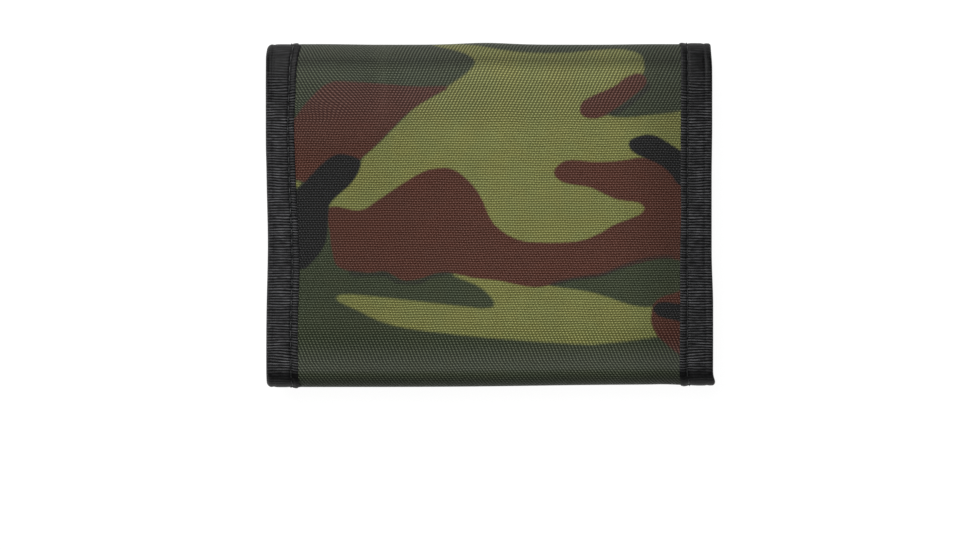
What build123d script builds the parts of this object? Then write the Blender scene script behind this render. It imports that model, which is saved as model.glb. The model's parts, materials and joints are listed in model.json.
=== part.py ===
"""Trifold wallet in coated polyester cloth, closed, lying on its outer flap.

One long strip of shell cloth is folded in three. Its section in the Y-Z plane starts at the outer flap's free
edge, runs under the wallet, up the tall top fold, back over the middle panel, down the bottom fold and in
under the middle panel as the inner flap. A lining strip follows it on the inside and leaves the note
compartment between the two. Every edge is bound with folded tape.

The frame: +X along the fold lines, +Y from the bottom fold to the top fold, +Z up through the closed stack,
origin at the middle of the underside. All lengths are in millimetres. A depth is measured inwards from the
outer face of the binding tape, square to the cloth.
"""

import math
import os

from build123d import *

# Driving dimensions
WIDTH = 122.0  # along the fold lines
HEIGHT = 94.0  # from fold to fold when closed
THICKNESS = 19.0  # the closed, empty stack
FOLD_RADIUS = 5.0  # at the outer face of the tape
OUTER_FLAP_GAP = 3.0  # the outer flap stops this far short of the bottom fold
INNER_FLAP_LENGTH = 54.0  # from the bottom fold to the inner flap's free edge
INNER_FLAP_Z = 4.9  # height of the inner flap's outer face in the closed stack
CUT_ANGLE = 1.2  # half of the gap between two bodies of a fold, in degrees about the fold's centre

TAPE = 0.4  # thickness of one layer of binding tape
TAPE_WIDTH = 8.5  # how far a binding shows from the edge
SHELL = (TAPE, TAPE + 0.7)  # depths of the shell cloth
LINING = (2.1, 2.6)  # depths of the lining
LEAF = (LINING[1], LINING[1] + TAPE)  # depths of a binding's inner leaf over the lining
LINING_SETBACK = TAPE_WIDTH + 0.2  # the lining's open edge stops this far inside the shell's

# Card pockets on the middle panel, the one nearest the lining first
POCKET_COUNT = 3
POCKET_CLOTH = 0.4
POCKET_PITCH = 0.9  # from one pocket's depth to the next
POCKET_FIRST_DEPTH = 3.2
POCKET_FIRST_MOUTH = 34.0  # X of the first pocket's mouth
POCKET_STEP = 18.0  # from one mouth to the next
POCKET_LENGTH = 48.0  # from a mouth to its bottom seam
POCKET_HALF_HEIGHT = 43.0
POCKET_TAPE = 0.35  # one layer of the mouth binding
POCKET_TAPE_WIDTH = 6.0
POCKET_SIDE_WALL = 0.4
POCKET_SIDE_DEPTH = 3.1

# Hook and loop closure
CLOSURE_LENGTH = 86.0
CLOSURE_Y = (-35.0, -19.0)
HOOK_THICKNESS = 1.4
LOOP_THICKNESS = 1.2

# Clear pocket for an identity card on the outer flap
WINDOW_X = (-52.3, 40.0)
WINDOW_Y = (-17.0, 41.0)
WINDOW_DEPTH = (3.1, 3.4)
WINDOW_TAPE_WIDTH = 5.0

# Coin pocket and its zip on the inner flap
COIN_X = (-52.3, 43.6)
COIN_Y = (-41.5, -1.7)
COIN_DEPTH = (3.8, 4.3)
COIN_WALL = 0.5
ZIP_Y = -11.0  # the zip's centre line
ZIP_SLIT = 1.0  # between the two zip tapes
ZIP_TAPE_WIDTH = 6.5
ZIP_TAPE_DEPTH = (3.4, 3.8)
ZIP_OPENING = 10.0  # between the two coin pocket panels
COIL_WIDTH = 1.5
COIL_DEPTH = (3.8, 5.1)
STOP_LENGTH = 2.0
STOP_CLEARANCE = 0.2
CLOSED_STOP_X = 42.0
OPEN_STOP_X = -49.0

# Zip slider and its pull, drawn with the zip closed
SLIDER_X = (33.0, 41.5)
SLIDER_HALF_WIDTH = 4.0
SLIDER_TOP_DEPTH = (5.25, 6.0)
SLIDER_BASE_DEPTH = (2.75, 3.25)
SLIDER_FLANGE = 0.8
SLIDER_FLANGE_DEPTH = 4.05
WEB_LENGTH = 2.5
WEB_WIDTH = 0.6
BRIDGE_X = (34.5, 39.5)
BRIDGE_POST = 1.0
BRIDGE_WIDTH = 1.8
BRIDGE_BAR = 0.6
SLIDER_CORNER = 2.0
SLIDER_NOSE = 1.0  # the web stops this far inside the slider's closed end
FLANGE_SETBACK = 2.0  # the side flanges stop this far inside both ends
BRIDGE_CLEARANCE = 0.1  # under the bridge's bar, over the pull
PULL_DEPTH = (6.15, 6.85)
PULL_END_X = 37.5
PULL_HALF_WIDTH = 2.7
PULL_LENGTH = 15.0
PULL_CORNER = 1.6
PULL_PIN = 1.0  # the pin that turns under the bridge, measured along the pull
EYE_SIZE = (4.4, 3.0)  # the hole that the bridge's post stands in
EYE_CORNER = 0.6
GRIP_HOLE = (4.0, 1.8)
GRIP_HOLE_FROM_END = 4.0

HALF_WIDTH = WIDTH / 2
HALF_HEIGHT = HEIGHT / 2
ARC_Y = HALF_HEIGHT - FOLD_RADIUS
OUTER_END_Y = -HALF_HEIGHT + OUTER_FLAP_GAP
INNER_END_Y = -HALF_HEIGHT + INNER_FLAP_LENGTH
LINING_EDGE_X = HALF_WIDTH - LINING_SETBACK
CORNERS = (
    (ARC_Y, FOLD_RADIUS),
    (ARC_Y, THICKNESS - FOLD_RADIUS),
    (-ARC_Y, THICKNESS - FOLD_RADIUS),
    (-ARC_Y, INNER_FLAP_Z + FOLD_RADIUS),
)
BODIES = ("outer_flap", "top_fold", "middle", "bottom_fold", "inner_flap")
OUTER, TOP_FOLD, MIDDLE, BOTTOM_FOLD, INNER = range(5)


# The folded section
def corner_point(corner, radius, angle):
    """A point of a fold's corner at an angle in degrees, as (Y, Z)."""
    y, z = CORNERS[corner]
    turn = math.radians(angle)
    return (y + radius * math.cos(turn), z + radius * math.sin(turn))


def section_path(body, depth, inset):
    """The cloth's line through one body at a depth, as edges in (Y, Z), from the outer flap's side onwards.

    A free end stops short by inset.
    """
    radius = FOLD_RADIUS - depth
    sweep = 45 - CUT_ANGLE
    edges = []
    if body == OUTER:
        start = (OUTER_END_Y + inset, depth)
    else:
        square = 90 * (body - 1)
        start = corner_point(body - 1, radius, square)
        edges.append(CenterArc(CORNERS[body - 1], radius, square - sweep, sweep))
    if body == INNER:
        end = (INNER_END_Y - inset, INNER_FLAP_Z + depth)
        return edges + [Line(start, end)]
    square = 90 * (body - 1)
    end = corner_point(body, radius, square)
    return edges + [Line(start, end), CenterArc(CORNERS[body], radius, square, sweep)]


def band(body, depths, xs, inset=0.0):
    """A layer of one body between two depths, from xs[0] to xs[1]."""
    outer = section_path(body, depths[0], inset)
    inner = section_path(body, depths[1], inset)
    caps = [Line(outer[0] @ 0, inner[0] @ 0), Line(outer[-1] @ 1, inner[-1] @ 1)]
    face = make_face(outer + inner + caps)
    return extrude(Plane.YZ.offset(xs[0]) * face, xs[1] - xs[0])


def z_at(body, depth):
    """The height of a depth on one of the three flat panels."""
    return {OUTER: depth, MIDDLE: THICKNESS - depth, INNER: INNER_FLAP_Z + depth}[body]


def slab(body, xs, ys, depths):
    """A flat block on a panel."""
    z0, z1 = sorted(z_at(body, depth) for depth in depths)
    size = (xs[1] - xs[0], ys[1] - ys[0], z1 - z0)
    return Pos(xs[0], ys[0], z0) * Box(*size, align=(Align.MIN, Align.MIN, Align.MIN))


# Shell, lining and the bindings along the two long edges
def shell(body):
    return band(body, SHELL, (-HALF_WIDTH + TAPE, HALF_WIDTH - TAPE), TAPE)


def lining(body):
    return band(body, LINING, (-HALF_WIDTH + TAPE, LINING_EDGE_X - TAPE), TAPE)


def left_binding(body):
    """Tape folded round the closed edge, over the shell and the lining together."""
    leaf_xs = (-HALF_WIDTH, -HALF_WIDTH + TAPE_WIDTH)
    wall = band(body, (0, LEAF[1]), (-HALF_WIDTH, -HALF_WIDTH + TAPE))
    return wall + band(body, (0, TAPE), leaf_xs) + band(body, LEAF, leaf_xs)


def right_binding(body):
    """Tape folded round the shell alone, at the note compartment's mouth."""
    leaf_xs = (HALF_WIDTH - TAPE_WIDTH, HALF_WIDTH)
    inner_leaf = (SHELL[1], SHELL[1] + TAPE)
    wall = band(body, (0, inner_leaf[1]), (HALF_WIDTH - TAPE, HALF_WIDTH))
    return wall + band(body, (0, TAPE), leaf_xs) + band(body, inner_leaf, leaf_xs)


def lining_binding(body):
    """Tape folded round the lining alone, at the note compartment's mouth. It stops at an end binding."""
    inset = TAPE_WIDTH if body in (OUTER, INNER) else 0.0
    leaf_xs = (LINING_EDGE_X - TAPE_WIDTH, LINING_EDGE_X)
    outer_leaf = (LINING[0] - TAPE, LINING[0])
    wall = band(body, (outer_leaf[0], LEAF[1]), (LINING_EDGE_X - TAPE, LINING_EDGE_X), inset)
    return wall + band(body, outer_leaf, leaf_xs, inset) + band(body, LEAF, leaf_xs, inset)


def end_binding(body):
    """Tape folded round the shell and lining together at a flap's free edge, between the side bindings."""
    edge, inwards = (OUTER_END_Y, 1) if body == OUTER else (INNER_END_Y, -1)
    xs = (-HALF_WIDTH + TAPE_WIDTH, LINING_EDGE_X)
    leaf_ys = sorted((edge, edge + inwards * TAPE_WIDTH))
    wall_ys = sorted((edge, edge + inwards * TAPE))
    wall = slab(body, xs, wall_ys, (0, LEAF[1]))
    return wall + slab(body, xs, leaf_ys, (0, TAPE)) + slab(body, xs, leaf_ys, LEAF)


# Card pockets
def pocket_mouth(index):
    return POCKET_FIRST_MOUTH - POCKET_STEP * index


def pocket_depth(index):
    return POCKET_FIRST_DEPTH + POCKET_PITCH * index


def card_pocket(index):
    mouth = pocket_mouth(index)
    depth = pocket_depth(index)
    xs = (mouth - POCKET_LENGTH, mouth - POCKET_TAPE)
    ys = (-POCKET_HALF_HEIGHT, POCKET_HALF_HEIGHT)
    return slab(MIDDLE, xs, ys, (depth, depth + POCKET_CLOTH))


def card_pocket_binding(index):
    """Tape folded round a pocket's mouth."""
    mouth = pocket_mouth(index)
    top = pocket_depth(index)
    base = top + POCKET_CLOTH
    ys = (-POCKET_HALF_HEIGHT, POCKET_HALF_HEIGHT)
    leaf_xs = (mouth - POCKET_TAPE_WIDTH, mouth)
    wall = slab(MIDDLE, (mouth - POCKET_TAPE, mouth), ys, (top - POCKET_TAPE, base + POCKET_TAPE))
    upper = slab(MIDDLE, leaf_xs, ys, (top - POCKET_TAPE, top))
    return wall + upper + slab(MIDDLE, leaf_xs, ys, (base, base + POCKET_TAPE))


def pocket_side_tape(side):
    """Narrow tape that closes the pockets' stepped ends beside one fold. side is 1 at the top fold."""
    edge = POCKET_HALF_HEIGHT
    wall_ys = sorted((side * edge, side * (edge + POCKET_SIDE_WALL)))
    tape = None
    for index in range(POCKET_COUNT):
        mouth = pocket_mouth(index)
        last = index == POCKET_COUNT - 1
        xs = (mouth - (POCKET_LENGTH if last else POCKET_STEP), mouth)
        depths = (POCKET_SIDE_DEPTH, pocket_depth(index) + POCKET_CLOTH + POCKET_TAPE)
        step = slab(MIDDLE, xs, wall_ys, depths)
        tape = step if tape is None else tape + step
    return tape


# Hook and loop closure
def hook_strip():
    xs = (-CLOSURE_LENGTH / 2, CLOSURE_LENGTH / 2)
    return slab(OUTER, xs, CLOSURE_Y, (LINING[1], LINING[1] + HOOK_THICKNESS))


def loop_strip():
    xs = (-CLOSURE_LENGTH / 2, CLOSURE_LENGTH / 2)
    return slab(INNER, xs, CLOSURE_Y, (SHELL[0] - LOOP_THICKNESS, SHELL[0]))


# Identity card window
def window_sheet():
    xs = (WINDOW_X[0] + TAPE, WINDOW_X[1] - TAPE)
    ys = (WINDOW_Y[0] + TAPE, WINDOW_Y[1] - TAPE)
    return slab(OUTER, xs, ys, WINDOW_DEPTH)


def window_frame():
    """Tape on the window's three closed sides: a leaf over the clear sheet and a wall down to the lining."""
    leaf = (WINDOW_DEPTH[1], WINDOW_DEPTH[1] + TAPE)
    wall = (LINING[1], leaf[1])
    (x0, x1), (y0, y1) = WINDOW_X, WINDOW_Y
    side_x1 = x1 - WINDOW_TAPE_WIDTH
    frame = slab(OUTER, (x0, x0 + WINDOW_TAPE_WIDTH), WINDOW_Y, leaf)
    frame += slab(OUTER, (x0, x0 + TAPE), WINDOW_Y, wall)
    for ys, wall_ys in (
        ((y0, y0 + WINDOW_TAPE_WIDTH), (y0, y0 + TAPE)),
        ((y1 - WINDOW_TAPE_WIDTH, y1), (y1 - TAPE, y1)),
    ):
        frame += slab(OUTER, (x0, side_x1), ys, leaf)
        frame += slab(OUTER, (x0, side_x1), wall_ys, wall)
    return frame


def window_mouth_binding():
    """Tape folded round the clear sheet's open edge."""
    sheet_top = WINDOW_DEPTH[1]
    fold = WINDOW_DEPTH[0] - POCKET_TAPE
    mouth = WINDOW_X[1]
    leaf_xs = (mouth - WINDOW_TAPE_WIDTH, mouth)
    wall = slab(OUTER, (mouth - TAPE, mouth), WINDOW_Y, (fold, sheet_top + TAPE))
    upper = slab(OUTER, leaf_xs, WINDOW_Y, (sheet_top, sheet_top + TAPE))
    return wall + upper + slab(OUTER, leaf_xs, WINDOW_Y, (fold, WINDOW_DEPTH[0]))


# Coin pocket
def coin_panel():
    """The coin pocket's front below the zip. Three of its edges turn down to the lining."""
    ys = (COIN_Y[0], ZIP_Y - ZIP_OPENING / 2)
    tape_edge = ZIP_Y - ZIP_SLIT / 2 - ZIP_TAPE_WIDTH
    panel = slab(INNER, COIN_X, ys, COIN_DEPTH)
    panel += slab(INNER, COIN_X, (ys[0], ys[0] + COIN_WALL), (LINING[1], COIN_DEPTH[1]))
    for xs in ((COIN_X[0], COIN_X[0] + COIN_WALL), (COIN_X[1] - COIN_WALL, COIN_X[1])):
        panel += slab(INNER, xs, (ys[0], tape_edge), (LINING[1], COIN_DEPTH[1]))
        panel += slab(INNER, xs, (tape_edge, COIN_Y[1] - COIN_WALL), (LINING[1], ZIP_TAPE_DEPTH[0]))
    return panel


def coin_strip():
    """The narrow strip of coin pocket front above the zip. Its far edge turns down to the lining."""
    ys = (ZIP_Y + ZIP_OPENING / 2, COIN_Y[1])
    strip = slab(INNER, COIN_X, ys, COIN_DEPTH)
    return strip + slab(INNER, COIN_X, (ys[1] - COIN_WALL, ys[1]), (LINING[1], COIN_DEPTH[1]))


def zip_tape(side):
    """One of the zip's two tapes. side is 1 towards the inner flap's free edge."""
    near, far = ZIP_SLIT / 2, ZIP_SLIT / 2 + ZIP_TAPE_WIDTH
    if side > 0:
        far = COIN_Y[1] - COIN_WALL - ZIP_Y
    ys = sorted((ZIP_Y + side * near, ZIP_Y + side * far))
    return slab(INNER, COIN_X, ys, ZIP_TAPE_DEPTH)


def zip_coil(side):
    near = ZIP_SLIT / 2
    ys = sorted((ZIP_Y + side * near, ZIP_Y + side * (near + COIL_WIDTH)))
    xs = (OPEN_STOP_X + STOP_LENGTH, CLOSED_STOP_X - STOP_CLEARANCE)
    return slab(INNER, xs, ys, COIL_DEPTH)


def open_end_stop():
    """The staple across both coils at the zip's open end."""
    reach = ZIP_SLIT / 2 + COIL_WIDTH
    xs = (OPEN_STOP_X, OPEN_STOP_X + STOP_LENGTH - STOP_CLEARANCE)
    return slab(INNER, xs, (ZIP_Y - reach, ZIP_Y + reach), COIL_DEPTH)


def closed_end_stop(side):
    """The small clip at the closed end of one coil."""
    ys = sorted((ZIP_Y + side * ZIP_SLIT / 2, ZIP_Y + side * (ZIP_SLIT / 2 + COIL_WIDTH)))
    return slab(INNER, (CLOSED_STOP_X, CLOSED_STOP_X + STOP_LENGTH / 2), ys, COIL_DEPTH)


# Zip slider
def zip_slider():
    """Slider body: plates above and below the coils, a web between them, side flanges and a bridge."""
    ys = (ZIP_Y - SLIDER_HALF_WIDTH, ZIP_Y + SLIDER_HALF_WIDTH)
    top = slab(INNER, SLIDER_X, ys, SLIDER_TOP_DEPTH)
    base = slab(INNER, SLIDER_X, ys, SLIDER_BASE_DEPTH)
    top = fillet(top.edges().filter_by(Axis.Z), SLIDER_CORNER)
    base = fillet(base.edges().filter_by(Axis.Z), SLIDER_CORNER)
    body = top + base
    for side in (-1, 1):
        outer = ZIP_Y + side * SLIDER_HALF_WIDTH
        flange_ys = sorted((outer - side * SLIDER_FLANGE, outer))
        flange_xs = (SLIDER_X[0] + FLANGE_SETBACK, SLIDER_X[1] - FLANGE_SETBACK)
        body += slab(INNER, flange_xs, flange_ys, (SLIDER_FLANGE_DEPTH, SLIDER_TOP_DEPTH[0]))
    web_end = SLIDER_X[1] - SLIDER_NOSE
    web_xs = (web_end - WEB_LENGTH, web_end)
    web_ys = (ZIP_Y - WEB_WIDTH / 2, ZIP_Y + WEB_WIDTH / 2)
    body += slab(INNER, web_xs, web_ys, (SLIDER_BASE_DEPTH[1], SLIDER_TOP_DEPTH[0]))
    return body + slider_bridge()


def slider_bridge():
    """The arch on the slider's top plate that holds the pull."""
    ys = (ZIP_Y - BRIDGE_WIDTH / 2, ZIP_Y + BRIDGE_WIDTH / 2)
    top = SLIDER_TOP_DEPTH[1]
    bar_base = PULL_DEPTH[1] + BRIDGE_CLEARANCE
    bar_depth = (bar_base, bar_base + BRIDGE_BAR)
    bridge = slab(INNER, BRIDGE_X, ys, bar_depth)
    for x in (BRIDGE_X[0], BRIDGE_X[1] - BRIDGE_POST):
        bridge += slab(INNER, (x, x + BRIDGE_POST), ys, (top, bar_depth[1]))
    return bridge


def zip_pull():
    """The pull: a pin under the bridge, two arms past the bridge's post and a rounded tab."""
    z = (z_at(INNER, PULL_DEPTH[0]) + z_at(INNER, PULL_DEPTH[1])) / 2
    thickness = PULL_DEPTH[1] - PULL_DEPTH[0]
    outline = RectangleRounded(PULL_LENGTH, 2 * PULL_HALF_WIDTH, PULL_CORNER)
    eye = RectangleRounded(*EYE_SIZE, EYE_CORNER)
    grip = SlotOverall(*GRIP_HOLE)
    eye_x = PULL_LENGTH / 2 - PULL_PIN - EYE_SIZE[0] / 2
    plate = extrude(outline, thickness / 2, both=True)
    plate -= extrude(Pos(eye_x, 0) * eye, thickness, both=True)
    plate -= extrude(Pos(GRIP_HOLE_FROM_END - PULL_LENGTH / 2, 0) * grip, thickness, both=True)
    return Pos(PULL_END_X - PULL_LENGTH / 2, ZIP_Y, z) * plate


def all_nodes():
    """Every piece of the wallet by its node's name."""
    nodes = {}
    for body, name in enumerate(BODIES):
        nodes[f"{name}_shell"] = shell(body)
        nodes[f"{name}_lining"] = lining(body)
        nodes[f"{name}_left_binding"] = left_binding(body)
        nodes[f"{name}_right_binding"] = right_binding(body)
        nodes[f"{name}_lining_binding"] = lining_binding(body)
    for body in (OUTER, INNER):
        nodes[f"{BODIES[body]}_end_binding"] = end_binding(body)
    for index in range(POCKET_COUNT):
        nodes[f"card_pocket_{index + 1}"] = card_pocket(index)
        nodes[f"card_pocket_{index + 1}_binding"] = card_pocket_binding(index)
    nodes["card_pocket_top_tape"] = pocket_side_tape(1)
    nodes["card_pocket_bottom_tape"] = pocket_side_tape(-1)
    nodes["hook_strip"] = hook_strip()
    nodes["loop_strip"] = loop_strip()
    nodes["id_window"] = window_sheet()
    nodes["id_window_frame"] = window_frame()
    nodes["id_window_mouth_binding"] = window_mouth_binding()
    nodes["coin_pocket_panel"] = coin_panel()
    nodes["coin_pocket_strip"] = coin_strip()
    nodes["zip_tape_lower"] = zip_tape(-1)
    nodes["zip_tape_upper"] = zip_tape(1)
    nodes["zip_coil_lower"] = zip_coil(-1)
    nodes["zip_coil_upper"] = zip_coil(1)
    nodes["zip_open_end_stop"] = open_end_stop()
    nodes["zip_closed_end_stop_lower"] = closed_end_stop(-1)
    nodes["zip_closed_end_stop_upper"] = closed_end_stop(1)
    nodes["zip_slider"] = zip_slider()
    nodes["zip_pull"] = zip_pull()
    return nodes


os.makedirs("parts", exist_ok=True)
for node_name, shape in all_nodes().items():
    export_step(shape, f"parts/{node_name}.step")
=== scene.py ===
"""The looks of the trifold wallet: woven camouflage shell, ribbed bindings, thread, pockets, zip and closure.

Every soft piece is laid out flat on the unrolled strip, as (x, s, depth) in millimetres: s runs along the
strip from the outer flap's free edge to the inner flap's, and depth goes inwards from the tape's outer face.
fold() then bends the flat layout round the closed wallet that the CAD frame gives.
"""
import json
import math

import bpy
import numpy as np
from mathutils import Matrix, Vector


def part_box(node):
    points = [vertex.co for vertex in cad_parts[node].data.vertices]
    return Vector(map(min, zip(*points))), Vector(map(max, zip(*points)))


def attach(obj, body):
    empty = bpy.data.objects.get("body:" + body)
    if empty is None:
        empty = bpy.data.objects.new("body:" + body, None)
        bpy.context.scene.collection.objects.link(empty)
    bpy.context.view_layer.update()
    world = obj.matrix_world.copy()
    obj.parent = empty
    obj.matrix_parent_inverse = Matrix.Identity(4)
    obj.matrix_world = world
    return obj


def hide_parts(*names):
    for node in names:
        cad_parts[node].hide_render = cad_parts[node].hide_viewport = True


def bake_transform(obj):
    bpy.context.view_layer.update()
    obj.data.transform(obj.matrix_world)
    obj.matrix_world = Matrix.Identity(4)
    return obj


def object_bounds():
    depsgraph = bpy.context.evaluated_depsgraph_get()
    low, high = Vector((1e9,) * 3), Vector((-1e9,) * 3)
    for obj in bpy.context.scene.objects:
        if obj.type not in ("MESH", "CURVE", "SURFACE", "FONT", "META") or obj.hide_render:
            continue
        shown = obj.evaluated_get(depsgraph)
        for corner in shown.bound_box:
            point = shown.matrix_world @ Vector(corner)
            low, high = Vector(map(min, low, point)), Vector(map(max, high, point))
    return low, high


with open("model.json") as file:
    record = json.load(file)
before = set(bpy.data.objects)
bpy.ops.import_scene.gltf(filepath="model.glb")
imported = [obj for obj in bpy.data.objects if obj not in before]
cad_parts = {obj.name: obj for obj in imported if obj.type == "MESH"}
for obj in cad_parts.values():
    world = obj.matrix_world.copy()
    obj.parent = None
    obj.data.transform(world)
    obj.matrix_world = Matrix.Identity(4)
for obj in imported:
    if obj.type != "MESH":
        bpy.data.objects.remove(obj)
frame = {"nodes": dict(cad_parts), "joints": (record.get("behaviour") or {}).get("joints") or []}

CAD_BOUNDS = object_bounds()
MM = 0.001

OUTER_BODY, TOP_BODY, MIDDLE_BODY, BOTTOM_BODY, INNER_BODY = (
    "outer_flap_body", "top_fold_body", "middle_body", "bottom_fold_body", "inner_flap_body")


# --- sizes read from the frame, in millimetres
def node_box(name):
    low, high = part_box(name)
    return np.array(low) / MM, np.array(high) / MM


def joint_place(name):
    joint = next(j for j in frame["joints"] if j["name"] == name)
    return np.array(joint["pos_m"]) / MM


HALF_WIDTH = CAD_BOUNDS[1].x / MM
HALF_HEIGHT = CAD_BOUNDS[1].y / MM
THICKNESS = CAD_BOUNDS[1].z / MM
RADIUS = joint_place("unfold")[2] / (1 - math.pi / 4)
STRAIGHT = HALF_HEIGHT - RADIUS
OUTER_END = node_box("outer_flap_end_binding")[0][1]
INNER_END = node_box("inner_flap_end_binding")[1][1]
INNER_Z = node_box("inner_flap_end_binding")[0][2]
TAPE = node_box("outer_flap_shell")[0][2]
TAPE_WIDTH = node_box("middle_left_binding")[1][0] + HALF_WIDTH
LINING_EDGE = node_box("middle_lining_binding")[1][0]
SHELL = (TAPE, TAPE + 0.7)
LEAF_OUT = node_box("outer_flap_end_binding")[1][2]
LINING = (LEAF_OUT - TAPE - 0.5, LEAF_OUT - TAPE)

STITCH_PITCH = 2.8
STITCH_LENGTH = 2.1
STITCH_IN = 1.85  # the seam's distance from the binding's inner edge
GROOVE_IN = 6.5  # the second crease's distance from that edge
THREAD_RADIUS = 0.17
MOUTH_TAPE = 0.35  # the thickness of the tape round a pocket's mouth
MOST_ROLL = 1.4  # the widest that a tape rolls over the edge it binds

# --- the strip, unrolled
ARC = math.pi / 2 * (RADIUS - SHELL[0])
LENGTHS = (STRAIGHT - OUTER_END, ARC, THICKNESS - 2 * RADIUS, ARC, 2 * STRAIGHT, ARC,
           THICKNESS - INNER_Z - 2 * RADIUS, ARC, INNER_END + STRAIGHT)
STARTS = np.concatenate(([0.0], np.cumsum(LENGTHS)))
FACE_CENTRE = STARTS[4] + STRAIGHT
STRIP_LENGTH = STARTS[9]
CORNERS = ((STRAIGHT, RADIUS), (STRAIGHT, THICKNESS - RADIUS),
           (-STRAIGHT, THICKNESS - RADIUS), (-STRAIGHT, INNER_Z + RADIUS))


def smooth(value, low, high):
    """0 below low, 1 above high, and an even curve between."""
    t = np.clip((value - low) / (high - low), 0, 1)
    return t * t * (3 - 2 * t)


def bump_at(value, centre, width):
    return np.exp(-((value - centre) / width) ** 2)


def fold(points):
    """Points (x, s, depth) on the unrolled strip, as (x, y, z) on the closed wallet, in millimetres."""
    x, s, d = np.asarray(points, float).T
    run = np.clip(np.searchsorted(STARTS, s, side="right") - 1, 0, 8)
    along = s - STARTS[run]
    y, z = np.empty_like(s), np.empty_like(s)
    straight = {
        0: lambda a, d: (OUTER_END + a, d),
        2: lambda a, d: (HALF_HEIGHT - d, RADIUS + a),
        4: lambda a, d: (STRAIGHT - a, THICKNESS - d),
        6: lambda a, d: (-HALF_HEIGHT + d, THICKNESS - RADIUS - a),
        8: lambda a, d: (-STRAIGHT + a, INNER_Z + d),
    }
    for index, place in straight.items():
        here = run == index
        y[here], z[here] = place(along[here], d[here])
    for corner, (cy, cz) in enumerate(CORNERS):
        here = run == 2 * corner + 1
        angle = math.pi / 2 * (corner - 1 + along[here] / ARC)
        y[here] = cy + (RADIUS - d[here]) * np.cos(angle)
        z[here] = cz + (RADIUS - d[here]) * np.sin(angle)
    return np.stack([x, y, z], 1)


FOLD_DROP = 1.3  # how far the face sinks at its folds, and at its left and right edges
LEFT_DROP = 0.5
RIGHT_DROP = 1.3
RIPPLE = 0.12
CREASES = ((36.2, 3.0, 0.28), (41.8, 2.4, -0.12))  # place, width and height of those beside the top fold


def sink(distance, start, reach):
    """0 up to start, then falling away faster and faster to 1."""
    return np.clip((distance - start) / reach, 0, 1) ** 2


def relax(places):
    """The small ways in which the sewn wallet differs from a true box: a crowned face and uneven edges."""
    x, y, z = places.T.copy()
    upper = smooth(z, 7.0, THICKNESS - 1.0)
    z = z - FOLD_DROP * sink(np.abs(y), 31.0, 16.0) * upper
    z = z - (LEFT_DROP * sink(-x, 48.0, 13.0) + RIGHT_DROP * sink(x, 34.0, 27.0)) * upper
    for place, width, height in CREASES:
        z = z + height * bump_at(y, place, width) * upper
    inland = smooth(HALF_HEIGHT - np.abs(y), 4, 16)
    z = z + RIPPLE * np.sin(x / 17.0 + 0.6) * np.cos(y / 13.0) * inland * upper
    top, bottom = smooth(y, 18.0, HALF_HEIGHT), smooth(-y, 18.0, HALF_HEIGHT)
    left, right = smooth(-x, 40.0, HALF_WIDTH), smooth(x, 40.0, HALF_WIDTH)
    cloth = smooth(HALF_WIDTH - np.abs(x), TAPE_WIDTH - 2.5, TAPE_WIDTH)
    # the top edge swells in its middle and the bottom edge hangs lower at its left
    y = y - top * 0.32 * smooth(-x, 51.0, 56.0)
    y = y + top * (0.3 + 0.5 * bump_at(x, -1.0, 9.0) + 0.16 * cloth * smooth(np.abs(x), 30.0, 46.0))
    hang = 0.02 + 0.39 * cloth - 0.36 * np.tanh((x - 12.0) / 24.0)
    y = y - bottom * (hang + 0.3 * smooth(x, 46.0, 54.0) - 0.15 * bump_at(x, 51.0, 5.0))
    # the left edge is waisted and the right edge spreads, with a tucked corner at the bottom
    waist = 0.45 * bump_at(y, -8.0, 15.0) - 0.12 * smooth(y, 12.0, 20.0) + 0.3 * smooth(y, 43.0, 47.0)
    x = x - left * (0.2 - waist)
    x = x + right * (0.17 + 0.4 * smooth(-y, 10.0, 25.0) + 0.15 * smooth(y, 10.0, 25.0))
    x = x + right * 0.8 * bump_at(y, -46.4, 1.8) * upper - right * 0.28 * smooth(y, 40.0, 46.0)
    return np.stack([x, y, z], 1)


# --- mesh building
SHARP_ANGLE = math.radians(50)
CORNER_STEP = 0.6  # the spacing along the strip where it goes round a corner
INNER_STEP = 8.0  # and across the hidden face of a cloth


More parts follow.
